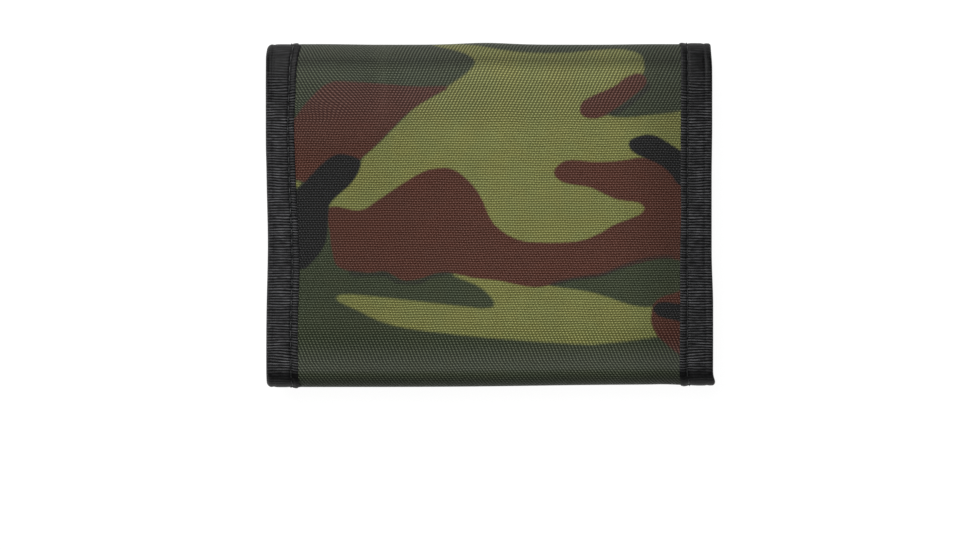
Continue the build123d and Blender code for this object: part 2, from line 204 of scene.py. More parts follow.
class Builder:
    """Collects closed tubes and sheets laid out flat, and makes one mesh object of them."""

    def __init__(self):
        self.points, self.faces, self.uvs, self.slots, self.count = [], [], [], [], 0

    def tube(self, rings, uvs=None, slot=0):
        """rings is (rings, points, 3); uvs is (rings, points + 1, 2). The points of a ring go round once."""
        rings = np.asarray(rings, float)
        n, m, _ = rings.shape
        if uvs is None:
            uvs = np.concatenate([rings, rings[:, :1]], 1)[:, :, :2]
        i, j = np.meshgrid(np.arange(n - 1), np.arange(m), indexing="ij")
        i, j = i.ravel(), j.ravel()
        k = (j + 1) % m
        quads = np.stack([i * m + j, i * m + k, (i + 1) * m + k, (i + 1) * m + j], 1)
        flat = rings.reshape(-1, 3)
        a, b, c, d = (flat[quads[:, q]] for q in range(4))
        volume = np.einsum("ij,ij->", a, np.cross(b, c)) + np.einsum("ij,ij->", a, np.cross(c, d))
        for ring, sign in ((rings[0], -1), (rings[-1], 1)):
            volume += sign * (np.cross(ring[1:-1], ring[2:]) @ ring[0]).sum()
        corner_uvs = np.stack([uvs[i, j], uvs[i, j + 1], uvs[i + 1, j + 1], uvs[i + 1, j]], 1)
        ends = [list(range(m))[::-1], [(n - 1) * m + q for q in range(m)]]
        end_uvs = [uvs[0, :m][::-1], uvs[n - 1, :m]]
        if volume < 0:
            quads, corner_uvs = quads[:, ::-1], corner_uvs[:, ::-1]
            ends, end_uvs = [e[::-1] for e in ends], [u[::-1] for u in end_uvs]
        self.faces += (quads + self.count).tolist() + [[q + self.count for q in e] for e in ends]
        self.uvs += [corner_uvs.reshape(-1, 2), *end_uvs]
        self.slots += [slot] * (len(quads) + len(ends))
        self.points.append(flat)
        self.count += n * m

    def make(self, name, materials, fields=None):
        """The mesh object. fields adds float attributes, worked out from the flat points."""
        flat = np.concatenate(self.points)
        places = relax(fold(flat))
        mesh = bpy.data.meshes.new(name)
        mesh.from_pydata((places * MM).tolist(), [], self.faces)
        mesh.uv_layers.new(name="cloth")
        mesh.uv_layers["cloth"].data.foreach_set("uv", np.concatenate(self.uvs).astype(np.float32).ravel())
        mesh.polygons.foreach_set("material_index", np.array(self.slots, np.int32))
        for material in materials:
            mesh.materials.append(material)
        if fields:
            for key, values in fields(flat).items():
                attribute = mesh.attributes.new(key, "FLOAT", "POINT")
                attribute.data.foreach_set("value", values.astype(np.float32))
        mesh.shade_smooth()
        mesh.set_sharp_from_angle(angle=SHARP_ANGLE)
        mesh.update()
        piece = bpy.data.objects.new(name, mesh)
        bpy.context.scene.collection.objects.link(piece)
        return piece


def steps(low, high, size):
    return np.linspace(low, high, max(2, int(round((high - low) / size)) + 1))


def strip_steps(s0, s1, size):
    """Places along the strip, size apart on the flat and closer round each corner."""
    marks = [s0] + [s for s in STARTS if s0 + 0.01 < s < s1 - 0.01] + [s1]
    places = []
    for a, b in zip(marks, marks[1:]):
        run = np.searchsorted(STARTS, (a + b) / 2, side="right") - 1
        places += list(steps(a, b, min(size, CORNER_STEP) if run % 2 else size)[:-1])
    return np.array(places + [s1])


def extrude(builder, loop, sweep, across="x", uv_around=False, shift=None):
    """Sweeps a closed loop of (p, depth) along the other axis. across says which axis p is: x or s.

    The u of the cloth's UV map is p itself, or with uv_around the distance round the loop.
    """
    loop, sweep = np.asarray(loop, float), np.asarray(sweep)[:, None]
    rings = np.empty((len(sweep), len(loop), 3))
    p, q = (0, 1) if across == "x" else (1, 0)
    rings[:, :, p] = loop[:, 0]
    rings[:, :, q] = sweep
    rings[:, :, 2] = loop[:, 1]
    if shift is not None:
        rings = shift(rings)
    around = np.concatenate([loop, loop[:1]])
    length = np.concatenate(([0], np.cumsum(np.linalg.norm(np.diff(around, axis=0), axis=1))))
    uvs = np.empty((len(sweep), len(around), 2))
    uvs[:, :, 0] = length if uv_around else around[:, 0]
    uvs[:, :, 1] = sweep
    if across == "s" and not uv_around:
        uvs = uvs[:, :, ::-1]
    builder.tube(rings, uvs)


def cloth_loop(low, high, depths, fine):
    """A sheet's section: its outer face finely divided, its inner face coarsely."""
    outer = [(p, depths[0]) for p in steps(low, high, fine)]
    inner = [(p, depths[1]) for p in steps(low, high, INNER_STEP)[::-1]]
    return outer + inner


# --- shader building
class Nodes:
    """Short ways to write a material's maths."""

    def __init__(self, name):
        self.material = bpy.data.materials.new(name)
        self.material.use_nodes = True
        self.tree = self.material.node_tree
        self.shader = self.tree.nodes["Principled BSDF"]

    def new(self, kind, **settings):
        node = self.tree.nodes.new(kind)
        for key, value in settings.items():
            setattr(node, key, value)
        return node

    def put(self, socket, value):
        if isinstance(value, bpy.types.NodeSocket):
            self.tree.links.new(value, socket)
        else:
            socket.default_value = value

    def maths(self, operation, *values):
        node = self.new("ShaderNodeMath", operation=operation)
        for socket, value in zip(node.inputs, values):
            self.put(socket, value)
        return node.outputs[0]

    def add(self, a, b):
        return self.maths("ADD", a, b)

    def sub(self, a, b):
        return self.maths("SUBTRACT", a, b)

    def mul(self, a, b):
        return self.maths("MULTIPLY", a, b)

    def ramp(self, value, low, high, to_low=0.0, to_high=1.0, kind="SMOOTHSTEP"):
        node = self.new("ShaderNodeMapRange", interpolation_type=kind)
        keys = ("Value", "From Min", "From Max", "To Min", "To Max")
        for key, number in zip(keys, (value, low, high, to_low, to_high)):
            self.put(node.inputs[key], number)
        return node.outputs["Result"]

    def mix(self, factor, a, b):
        node = self.new("ShaderNodeMix", data_type="RGBA")
        for socket, value in ((node.inputs[0], factor), (node.inputs[6], a), (node.inputs[7], b)):
            self.put(socket, value)
        return node.outputs[2]

    def scale(self, colour, factor):
        node = self.new("ShaderNodeVectorMath", operation="SCALE")
        self.put(node.inputs[0], colour[:3] if isinstance(colour, tuple) else colour)
        self.put(node.inputs["Scale"], factor)
        return node.outputs[0]

    def colours(self, operation, a, b):
        """ADD or MULTIPLY two colours, part by part."""
        node = self.new("ShaderNodeVectorMath", operation=operation)
        self.put(node.inputs[0], a)
        self.put(node.inputs[1], b)
        return node.outputs[0]

    def uv(self):
        node = self.new("ShaderNodeUVMap", uv_map="cloth")
        split = self.new("ShaderNodeSeparateXYZ")
        self.tree.links.new(node.outputs[0], split.inputs[0])
        return split.outputs[0], split.outputs[1], node.outputs[0]

    def noise(self, vector, size, detail=2.0, stretch=(1, 1, 1)):
        """Noise from 0 to 1 whose features are about size long, in the vector's own units."""
        mapped = self.new("ShaderNodeMapping")
        self.put(mapped.inputs["Vector"], vector)
        mapped.inputs["Scale"].default_value = [k / size for k in stretch]
        node = self.new("ShaderNodeTexNoise")
        node.inputs["Scale"].default_value = 1.0
        node.inputs["Detail"].default_value = detail
        self.tree.links.new(mapped.outputs[0], node.inputs["Vector"])
        return node.outputs[0]

    def grain(self, size, detail):
        """Noise through space, whose features are about size metres long."""
        return self.noise(self.new("ShaderNodeTexCoord").outputs["Object"], size, detail)

    def attribute(self, name):
        return self.new("ShaderNodeAttribute", attribute_name=name).outputs["Fac"]

    def finish(self, colour, height, depth_mm, roughness, specular=0.4):
        bump = self.new("ShaderNodeBump")
        bump.inputs["Distance"].default_value = depth_mm * MM
        self.put(bump.inputs["Height"], height)
        self.tree.links.new(bump.outputs[0], self.shader.inputs["Normal"])
        self.put(self.shader.inputs["Base Color"], colour)
        self.put(self.shader.inputs["Roughness"], roughness)
        self.shader.inputs["Specular IOR Level"].default_value = specular
        return self.material


def linear(*levels):
    """A colour as seen on a screen, red, green and blue from 0 to 255, as the light it stands for."""
    parts = [level / 255 for level in levels]
    return tuple(v / 12.92 if v < 0.04 else ((v + 0.055) / 1.055) ** 2.4 for v in parts) + (1,)


CAMO_DARK = linear(40, 50, 29)
CAMO_LIGHT = linear(108, 110, 56)
CAMO_BROWN = linear(69, 26, 14)
CAMO_BLACK = linear(16, 16, 16)
BLACK_CLOTH = linear(38, 38, 39)
TAPE_BLACK = linear(27, 27, 28)
# the pale colour of the painted sheen on the yarns' crowns beside the folds
PAINTED_SHEEN = (0.0165, 0.016, 0.0165)
CAMO_WARP = 0.457  # the distance between neighbouring yarns
CAMO_WEFT = 0.658
RIB_PITCH = 0.75  # between the ribs of the binding tape
WANDER = 0.12  # how far a cloth's yarns stray from straight


def down_face(n, v, low, high, to_low=0.0, to_high=1.0):
    """A ramp between two distances down the face from its middle, in millimetres."""
    return n.ramp(v, FACE_CENTRE + low, FACE_CENTRE + high, to_low, to_high)


def near_folds(n, v, lead=0.0):
    """Rises where the face runs into its two folds, at the top one lead millimetres early."""
    top = down_face(n, v, lead - 39.5, lead - 43.5, 0.0, 0.85)
    bottom = down_face(n, v, 42.8, 45.8, 0.0, 0.8)
    return n.maths("MAXIMUM", top, bottom)


def yarn_lean(n, u, v):
    """The yarns shift sideways from row to row, more towards the face's ends, so the weave looks slanted."""
    level = n.sub(FACE_CENTRE - 5.0, v)
    reach = n.mul(n.maths("MINIMUM", n.mul(level, level), 2000.0), 0.0075)
    corner = n.mul(n.ramp(u, -50.0, -36.0, 1.6, 0.0), down_face(n, v, -32.0, -25.0, 1.0, 0.0))
    return n.sub(reach, n.mul(corner, n.sub(reach, 9.7)))


def yarn_slant(n, u, v):
    """How far the floats lie aslant: 1 rises to the right, -1 to the left, 0 lies straight across."""
    top = n.mul(down_face(n, v, -22.0, -33.0), n.ramp(u, -37.0, -21.0, -1.0, 1.0))
    bottom = down_face(n, v, 27.0, 38.0, 0.0, -1.0)
    return n.add(top, bottom)


def ridges(n, value):
    """Rounded ridges, 0 to 1, one for each whole number."""
    return n.maths("POWER", n.maths("ABSOLUTE", n.maths("COSINE", n.mul(value, math.pi))), 0.7)


def plain_weave(n, warp, weft, pulled=False):
    """(height from 0 to 1, u, v, uv vector) of a plain weave whose yarns lie warp and weft millimetres apart.

    A pulled cloth leans, slants and closes up where it is stretched towards the folds.
    """
    u, v, vector = n.uv()
    drift = n.mul(n.sub(n.noise(vector, 9.0, 1.0), 0.5), WANDER)
    a = n.maths("DIVIDE", n.add(u, n.mul(drift, 3)), warp)
    b = n.maths("DIVIDE", n.add(v, n.mul(drift, 4)), weft)
    row = n.maths("ROUND", b)
    rib = ridges(n, b)
    slanted = 0.0
    if pulled:
        slant = yarn_slant(n, u, v)
        slanted = n.maths("ABSOLUTE", slant)
        rib = n.maths("MAXIMUM", rib, n.maths("MAXIMUM", near_folds(n, v), n.mul(slanted, 0.6)))
        a = n.add(n.add(a, yarn_lean(n, u, v)), n.mul(slant, n.sub(b, row)))
    over = n.add(n.mul(n.maths("COSINE", n.mul(n.add(a, row), math.pi)), 0.5), 0.5)
    weft_height = n.mul(rib, n.add(n.mul(over, 0.62), 0.38))
    fullness = n.sub(0.8, n.mul(slanted, 0.5))
    warp_height = n.mul(n.mul(ridges(n, a), n.sub(1.0, over)), fullness)
    return n.maths("MAXIMUM", weft_height, warp_height), u, v, vector


def printed_colour(n, vector):
    """The four colours of the print, with edges as ragged as the yarns make them."""
    ragged = n.mul(n.sub(n.noise(vector, 0.9, 2.0, (1, 1.4, 1)), 0.5), 0.55)
    colour = CAMO_DARK
    for key, paint, soft in (("light", CAMO_LIGHT, 0.55), ("brown", CAMO_BROWN, 0.4),
                             ("black", CAMO_BLACK, 0.4)):
        edge = n.add(n.attribute(key), ragged)
        colour = n.mix(n.ramp(edge, -soft, soft), colour, paint)
    overprint = n.ramp(n.add(n.attribute("overprint"), ragged), -0.6, 0.5, 0.0, 0.75)
    return n.mix(overprint, colour, CAMO_BLACK)


def painted_sheen(n, u, v, height):
    """A painted sheen: pale colour added on the yarns' crowns beside the two folds, standing in for the light
    that the cloth catches there.
    """
    top = n.mul(down_face(n, v, -17.0, -34.0), n.ramp(u, -22.0, 8.0, 0.9, 0.6))
    bottom = n.mul(down_face(n, v, 33.0, 41.5),
                   down_face(n, v, 41.5, 43.5, 1.45, 0.3))
    return n.scale(PAINTED_SHEEN, n.mul(n.add(top, bottom), n.add(n.mul(height, 1.2), 0.25)))


def camo_cloth():
    n = Nodes("camo_cloth")
    height, u, v, vector = plain_weave(n, CAMO_WARP, CAMO_WEFT, True)
    crown = n.mul(height, height)
    uneven = n.ramp(n.noise(vector, 14.0, 3.0), 0.3, 0.7, 0.95, 1.05, "LINEAR")
    yarn = n.ramp(n.noise(vector, 1.6, 2.0, (0.25, 2.4, 1)), 0.25, 0.75, 0.93, 1.07, "LINEAR")
    # tone: painted highlight on the yarns' crowns and painted shade in the gaps between them, times random
    # unevenness
    tone = n.mul(n.mul(n.ramp(crown, 0.0, 1.0, 0.3, 1.95, "LINEAR"), uneven), yarn)
    hue = n.mix(n.ramp(n.noise(vector, 8.0, 2.0), 0.35, 0.65), (0.97, 1.01, 1.05, 1), (1.02, 1.0, 0.96, 1))
    colour = n.colours("MULTIPLY", n.scale(printed_colour(n, vector), tone), hue)

    # Painted highlight: pale colour added on the yarns' crowns, yellowish on the inks, and less and whiter on
    # the black ink.
    black = n.ramp(n.attribute("black"), -0.4, 0.4)
    shine = n.mul(n.ramp(n.attribute("black"), -0.4, 0.4, 0.088, 0.052), n.mul(crown, height))
    painted_gloss = n.scale(n.mix(black, (1, 0.96, 0.81, 1), (1, 1, 1, 1)), shine)

    # Painted shade: the face is darkened where it turns over its two folds.
    turned = n.sub(1.0, n.mul(near_folds(n, v, 1.0), 0.5))
    # Painted shade: darker towards the right binding, and a little towards the left.
    edges = n.mul(n.ramp(u, 34.0, 51.0, 1.0, 0.745), n.ramp(u, -42.0, 2.0, 0.875, 1.0))
    lit = n.scale(n.colours("ADD", colour, painted_gloss), n.mul(turned, edges))
    # the painted sheen beside the folds is added on top
    return n.finish(n.colours("ADD", lit, painted_sheen(n, u, v, height)), height, 0.2, 0.45, 0.08)


def black_cloth(name, warp, weft, colour):
    n = Nodes(name)
    height, _, _, vector = plain_weave(n, warp, weft)
    uneven = n.ramp(n.noise(vector, 12.0, 3.0), 0.3, 0.7, 0.9, 1.1, "LINEAR")
    # tone: painted highlight on the yarns' crowns and painted shade between them
    tone = n.ramp(height, 0.0, 1.0, 0.6, 1.3, "LINEAR")
    return n.finish(n.scale(colour, n.mul(tone, uneven)), height, 0.16, 0.5, 0.2)


def ribbed_tape():
    """Grosgrain: fat ribs across the tape, which flatten where it turns round a fold."""
    n = Nodes("binding_tape")
    u, v, vector = n.uv()
    sway = n.mul(n.sub(n.noise(vector, 7.0, 1.0, (0.7, 1.6, 1)), 0.5), 0.9)
    b = n.maths("DIVIDE", n.add(v, sway), RIB_PITCH)
    rib = n.maths("ABSOLUTE", n.maths("COSINE", n.mul(b, math.pi)))
    broken = n.ramp(n.noise(vector, 1.1, 2.0, (0.55, 1.2, 1)), 0.3, 0.7, 0.4, 1.55, "LINEAR")
    bold = n.ramp(n.noise(vector, 4.5, 2.0, (0.6, 1, 1)), 0.35, 0.65, 0.45, 1.0)
    flat = 0.0
    for start, fade in ((STARTS[1], 2.0), (STARTS[3], 15.0), (STARTS[5], 2.0), (STARTS[7], 2.0)):
        end = start + ARC - 0.8
        near = n.mul(n.ramp(v, start - 1.0, start + 1.5), n.ramp(v, end, end + fade, 1.0, 0.0))
        flat = n.maths("MAXIMUM", flat, near)
    lip = n.ramp(u, STITCH_IN - 0.2, STITCH_IN + 0.7, 0.75, 1.0)
    rim = n.ramp(u, GROOVE_IN - 0.6, GROOVE_IN + 0.3, 1.0, 0.85)
    bold = n.mul(bold, n.maths("MINIMUM", lip, rim))
    # Painted shade: the tape is darkened along the groove where its seam is sewn.
    shade_before_seam = n.ramp(u, STITCH_IN - 0.7, STITCH_IN - 0.1, 1.0, 0.6)
    shade_after_seam = n.ramp(u, STITCH_IN + 0.1, STITCH_IN + 0.7, 0.6, 1.0)
    seam = n.maths("MAXIMUM", shade_before_seam, shade_after_seam)
    height = n.mul(n.mul(rib, bold), n.sub(1.0, n.mul(flat, 0.85)))
    # tone: painted highlights along the ribs' crowns, and painted shade between them
    tone = n.ramp(n.mul(height, n.maths("POWER", rib, 3.0)), 0.0, 1.0, 0.16, 7.9, "LINEAR")
    return n.finish(n.scale(TAPE_BLACK, n.mul(tone, n.mul(broken, seam))), height, 0.32, 0.45, 0.12)


def thread():
    n = Nodes("thread")
    twist = n.grain(0.0004, 1.0)
    return n.finish(n.mix(twist, linear(10, 11, 12), linear(26, 29, 30)), twist, 0.05, 0.5, 0.4)


def moulded(name, colour, roughness, specular=0.5, metallic=0.0):
    """Hard or brushed black stuff with a fine mottle."""
    n = Nodes(name)
    mottle = n.grain(0.0006, 3.0)
    tint = n.ramp(mottle, 0.3, 0.7, 0.88, 1.12, "LINEAR")
    n.shader.inputs["Metallic"].default_value = metallic
    rough = n.ramp(mottle, 0.2, 0.8, roughness - 0.08, roughness + 0.08, "LINEAR")
    return n.finish(n.scale(colour, tint), mottle, 0.02, rough, specular)


def vinyl():
    """Clear, slightly cloudy sheet."""
    n = Nodes("clear_vinyl")
    ripple = n.grain(0.018, 2.0)
    n.finish(linear(150, 156, 160), ripple, 0.5, 0.1, 0.5)
    n.shader.inputs["Alpha"].default_value = 0.16
    return n.material


def floor_material():
    n = Nodes("floor")
    paper = n.grain(0.002, 2.0)
    tone = n.ramp(paper, 0.0, 1.0, 0.98, 1.0, "LINEAR")
    n.finish(n.scale((0.12, 0.12, 0.12, 1), tone), paper, 0.02, 0.8, 0.0)
    n.shader.inputs["Emission Color"].default_value = (1, 1, 1, 1)
    n.shader.inputs["Emission Strength"].default_value = 0.95
    return n.material


# --- the printed pattern
# Outlines are (x, t) in millimetres on the middle panel's outer face and on past its folds: t is up the face
# from its middle. Dark green is the ground, and the others lie over it in this order.
LIGHT = (
    ((-15.5, 47.5), (-6.6, 43.8), (-3.9, 41.5), (-4.7, 39.8), (-7.4, 37.5), (-16.4, 31.8), (-20, 29.8),
     (-29.5, 20.4), (-34.5, 15.8), (-36.5, 11), (-43.6, 3.4), (-44.2, 1.6), (-40, 1), (-36, 0), (-30, 2),
     (-22, 6), (-14, 9), (-7, 8), (-3, 2), (0, -4), (5, -8), (14, -10), (24, -9), (33, -5), (42, -1),
     (44.5, 2), (42, 5.5), (34, 7), (28, 10), (38, 14), (48, 13), (58, 12), (58, 28.3), (50, 27.9),
     (38, 26.7), (33, 27.5), (33.5, 31), (38, 36), (42, 38), (42.5, 41.5), (41.6, 43.6), (38.5, 45),
     (33.5, 45.6), (19.5, 44.3), (5, 44.7), (-5, 46.9), (-10, 48.5)),
    ((-42, -22.6), (-39.8, -21.8), (-33.3, -22.1), (-8, -24.9), (-2, -25.5), (1, -25.1), (1.4, -24),
     (-0.3, -21.6), (-3.7, -19.1), (-9.8, -16.6), (-7, -15.6), (0, -16), (15, -18.5), (17.6, -19.5),
     (28.8, -21.4), (39.7, -24.9), (47, -25.8), (48, -31.8), (45.6, -33.4), (31.3, -35.2), (22.9, -35.2),
     (-3.7, -33), (-25.5, -30.2), (-37, -25.6), (-40.6, -24)),
    ((-58, 9.6), (-53.4, 9.5), (-51.4, 8.7), (-53.2, 7.6), (-58, 7.4)),
)
BROWN = (
    ((-11.3, 34.9), (-20.6, 35.1), (-37.5, 36.3), (-44.3, 35.7), (-50, 30.6), (-53.2, 26.4), (-58, 22),
     (-58, 12), (-54, 10.2), (-46, 8), (-39, 11), (-35, 15.6), (-31.6, 18.5), (-22.3, 27.8),
     (-16.4, 31.8)),
    ((-43.9, 2), (-36.6, 1.3), (-33.6, 1.9), (-30.3, 4.2), (-20.1, 10.8), (-15.1, 12.7), (-9.4, 12.3),
     (-3.3, 6.7), (0.4, -1), (3, -4), (7.3, -6.5), (12.3, -7.5), (23.5, -7.3), (29.6, -5.4), (34.7, -2.5),
     (41.9, 0.5), (41.5, 3.2), (34.7, 4.4), (27.9, 7.5), (22, 8.5), (19.2, 9.6), (17.8, 11.6), (19.3, 14),
     (22.5, 15.1), (29.2, 14.6), (36, 14.9), (42, 15.8), (48, 15), (58, 12), (58, -12.9), (52.8, -12.5),
     (47, -11.9), (35.5, -14.8), (30.5, -16.7), (22.9, -17.6), (13, -19.8), (2.6, -18), (-3.7, -17.3),
     (-12.5, -15.8), (-19.3, -17.6), (-23.6, -17.9), (-28.3, -15.6), (-33, -15.9), (-38.5, -15.3),
     (-41.8, -13.8), (-42.9, -10.5), (-43.6, -5.7)),
    ((40.4, 38.5), (37.4, 37.4), (34.3, 35.1), (26.5, 31.6), (25, 29.4), (25.5, 27.3), (28, 26.4),
     (31.3, 26.9), (34.7, 29), (41.9, 34.2), (43.2, 36.3), (42.4, 38)),
    ((44.9, -25), (46.2, -23.2), (49.7, -21.7), (58, -21), (58, -40), (53, -38.9), (47.2, -34.3),
     (45.4, -32), (44.4, -28.9)),
)
BLACK = (
    ((-35.3, 14.8), (-40, 16.7), (-43.2, 16), (-46.4, 13.4), (-53, 6.6), (-58, 3), (-58, -15.5),
     (-52, -14.9), (-49.5, -13.9), (-45, -7.8), (-44, 1), (-43, 4), (-37.4, 9.2)),
    ((38.4, 19), (39.4, 21), (45.2, 21.9), (53, 17.4), (58, 16), (58, 7), (52.2, 8.2), (50, 11),
     (46.6, 13.9), (40.3, 16.8)),
    ((44.9, -25.5), (46.2, -24.2), (48.4, -23.9), (53, -24.5), (58, -24.7), (58, -29.6), (48.2, -28.3),
     (45.6, -27)),
)
OVERPRINT = (
    ((17, -18.6), (24, -17), (31, -15.9), (38, -13.2), (45, -11.4), (50, -11.2), (50, -11.9),
     (44.8, -12.2), (38, -14.2), (31, -16.9), (23.5, -18), (18, -19.3)),
    ((-38, -15.4), (-33, -16), (-28.5, -15.6), (-26, -17.2), (-23, -18.2), (-18.8, -17.8), (-15.6, -16.4),
     (-11, -15.6), (-11.5, -16.4), (-15.6, -17.2), (-19, -18.9), (-25, -18.8), (-29, -16.8), (-37, -16.9)),
    ((31.5, 27.4), (35.5, 29.2), (41, 33.2), (43.8, 36), (43.4, 33.6), (36, 28)),
)
TOP_TURN = 50.0  # the print repeats upside down beyond these two lines
BOTTOM_TURN = -44.0


def closed_curve(points, per_side=6):
    """A smooth closed line through the points."""
    p = np.array(points, float)
    before, after, later = np.roll(p, 1, 0), np.roll(p, -1, 0), np.roll(p, -2, 0)
    t = (np.arange(per_side) / per_side)[:, None, None]
    curve = 0.5 * (2 * p + (after - before) * t + (2 * before - 5 * p + 4 * after - later) * t ** 2
                   + (3 * p - before - 3 * after + later) * t ** 3)
    return curve.transpose(1, 0, 2).reshape(-1, 2)


def inside_by(points, outlines, reach=6.0):
    """How far, in millimetres, each point is inside the nearest outline; negative outside, at most reach."""
    best = np.full(len(points), -reach)
    for outline in outlines:
        line = closed_curve(outline)
        near = np.all((points > line.min(0) - reach) & (points < line.max(0) + reach), axis=1)
        if not near.any():
            continue
        q = points[near]
        nearest, crossings = np.full(len(q), reach), np.zeros(len(q), bool)
        for a, b in zip(line, np.roll(line, -1, 0)):
            side = b - a
            t = np.clip(((q - a) @ side) / max(side @ side, 1e-9), 0, 1)
            nearest = np.minimum(nearest, np.hypot(*(q - a - t[:, None] * side).T))
            if a[1] != b[1]:
                spans = (a[1] > q[:, 1]) != (b[1] > q[:, 1])
                crossings ^= spans & (q[:, 0] < a[0] + (q[:, 1] - a[1]) * side[0] / side[1])
        best[near] = np.maximum(best[near], np.where(crossings, nearest, -nearest))
    return best


def print_fields(flat):
    """The print's distances at flat points (x, s, depth)."""
    x, t = flat[:, 0].copy(), FACE_CENTRE - flat[:, 1]
    for turned, line in ((t > TOP_TURN, TOP_TURN), (t < BOTTOM_TURN, BOTTOM_TURN)):
        x = np.where(turned, -x, x)
        t = np.where(turned, 2 * line - t, t)
    points = np.stack([x, t], 1)
    inks = (("light", LIGHT), ("brown", BROWN), ("black", BLACK), ("overprint", OVERPRINT))
    return {key: inside_by(points, outlines) for key, outlines in inks}


# --- strips that cross the folds
SEAMS = (0.0, (STARTS[2] + STARTS[3]) / 2, STARTS[5] - 4.0, (STARTS[6] + STARTS[7]) / 2, STRIP_LENGTH)
PARTS = (
    ("outer_flap", OUTER_BODY, TOP_BODY, (STRAIGHT, 0), (HALF_HEIGHT, RADIUS), ("outer_flap",)),
    ("middle", TOP_BODY, MIDDLE_BODY, (HALF_HEIGHT, THICKNESS - RADIUS), (STRAIGHT, THICKNESS),
     ("top_fold", "middle")),
    ("bottom_fold", MIDDLE_BODY, BOTTOM_BODY, (-STRAIGHT, THICKNESS), (-HALF_HEIGHT, THICKNESS - RADIUS),
     ("bottom_fold",)),
    ("inner_flap", BOTTOM_BODY, INNER_BODY, (-HALF_HEIGHT, INNER_Z + RADIUS), (-STRAIGHT, INNER_Z),
     ("inner_flap",)),
)


def cut_length(s0, s1, depths):
    """The length of the cloth between two places on the strip, through the middle of its thickness."""
    line = fold([(0.0, s, sum(depths) / 2) for s in strip_steps(s0, s1, 1.0)])
    return np.linalg.norm(np.diff(line, axis=0), axis=1).sum()


def strip_pieces(kind, build, materials, ends=(0.0, 0.0), fields=None, cloth=None):
    """Four pieces that make one strip, each bending over one fold. build fills a Builder from s0 to s1.

    cloth is (width, depths), for a strip that is a sheet.
    """
    for index, (name, a, b, start, end, nodes) in enumerate(PARTS):
        s0, s1 = SEAMS[index], SEAMS[index + 1]
        s0 = s0 + ends[0] if index == 0 else s0
        s1 = s1 - ends[1] if index == 3 else s1
        builder = Builder()
        build(builder, s0, s1)
        piece = builder.make(f"{name}_{kind}_cover", materials, fields=fields)
        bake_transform(piece)
        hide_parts(*[f"{node}_{kind}" for node in nodes])
        if cloth:
            cut_length(s0, s1, cloth[1]) * MM


def cloth_strip(kind, edges, depths, spacing, material, fields=None):
    """One of the strip's two cloths. depths starts with the face that shows; spacing is across and along."""
    def build(builder, s0, s1):
        extrude(builder, cloth_loop(*edges, depths, spacing[0]), strip_steps(s0, s1, spacing[1]))

    size = (edges[1] - edges[0], depths)
    strip_pieces(kind, build, [material], (TAPE, TAPE), fields, size)


# --- bindings
def leaf_line(width):
    """(distance from the inner edge, how far the surface dips) across a binding's outer leaf."""
    across = np.linspace(0, width, 44)
    dip = 0.17 * bump_at(across, STITCH_IN, 0.42) + 0.12 * bump_at(across, GROOVE_IN, 0.4)
    dip = dip - 0.05 * bump_at(across, (STITCH_IN + GROOVE_IN) / 2, 1.9) + 0.12 * bump_at(across, 0, 0.25)
    return across, dip


def binding_loop(edge, sign, near, far, width=TAPE_WIDTH, layer=TAPE):
    """A tape folded over an edge at p = edge, closed towards sign, between depths near and far."""
    half = (far - near) / 2
    reach = min(half, MOST_ROLL)
    across, dip = leaf_line(width - reach)
    dip = dip * layer / TAPE
    inner_edge = edge - sign * width
    outer_leaf = [(inner_edge + sign * a, near + d) for a, d in zip(across, dip)]
    centre = edge - sign * reach
    turn = np.linspace(-math.pi / 2, math.pi / 2, 13)
    roll = [(centre + sign * reach * math.cos(t), near + half + half * math.sin(t)) for t in turn]
    inner_leaf = [(p, 2 * (near + half) - d) for p, d in outer_leaf[::-1]]
    thick = layer - 0.03
    deep, mouth = edge - sign * (thick + 0.05), edge - sign * min(1.2, width / 3)
    hollow = [(inner_edge, far - thick), (mouth, far - thick), (deep, far - half * 0.8),
              (deep, near + half * 0.8), (mouth, near + thick), (inner_edge, near + thick)]
    return outer_leaf + roll + inner_leaf + hollow


LEFT_WANDER = ((-48, -1.0), (-44, -0.2), (-30, -0.1), (-15, -0.4), (5, 0.4), (25, 0.8), (40, 0.1), (47, -0.9))
RIGHT_WANDER = ((-48, -0.6), (-30, -0.45), (-20, -0.35), (0, 0.1), (20, -0.1), (40, 0.0), (47, 0.2))


def sag_of_edge(edge, sign):
    """The sewn tape's inner edge wanders a little: each table pairs a height on the face with a distance."""
    heights, offsets = zip(*(LEFT_WANDER if sign < 0 else RIGHT_WANDER))

    def shift(rings):
        t = FACE_CENTRE - rings[:, :, 1]
        share = np.clip((edge - sign * 1.5 - rings[:, :, 0]) * sign / (TAPE_WIDTH - 1.5), 0, 1)
        rings[:, :, 0] += sign * share * np.interp(t, heights, offsets, left=0, right=0)
        return rings

    return shift


def stitches(builder, p, s0, s1, depth, across="x", shift=None):
    """Thread segments lying on the surface at p, along the other axis."""
    count = max(1, int((s1 - s0) / STITCH_PITCH))
    first = s0 + ((s1 - s0) - count * STITCH_PITCH) / 2
    along = np.linspace(-STITCH_LENGTH / 2, STITCH_LENGTH / 2, 7)
    arch = 1 - (2 * along / STITCH_LENGTH) ** 2
    radius = THREAD_RADIUS * (0.35 + 0.65 * np.sqrt(np.clip(arch, 0, 1)))
    turn = np.linspace(0, 2 * math.pi, 6, endpoint=False)
    a, b = (0, 1) if across == "x" else (1, 0)
    for k in range(count):
        rings = np.empty((len(along), len(turn), 3))
        rings[:, :, a] = p + radius[:, None] * np.cos(turn)
        rings[:, :, b] = (first + (k + 0.5) * STITCH_PITCH + along)[:, None]
        rings[:, :, 2] = depth - 0.1 * arch[:, None] + radius[:, None] * np.sin(turn)
        if shift is not None:
            rings = shift(rings)
        builder.tube(rings, slot=1)


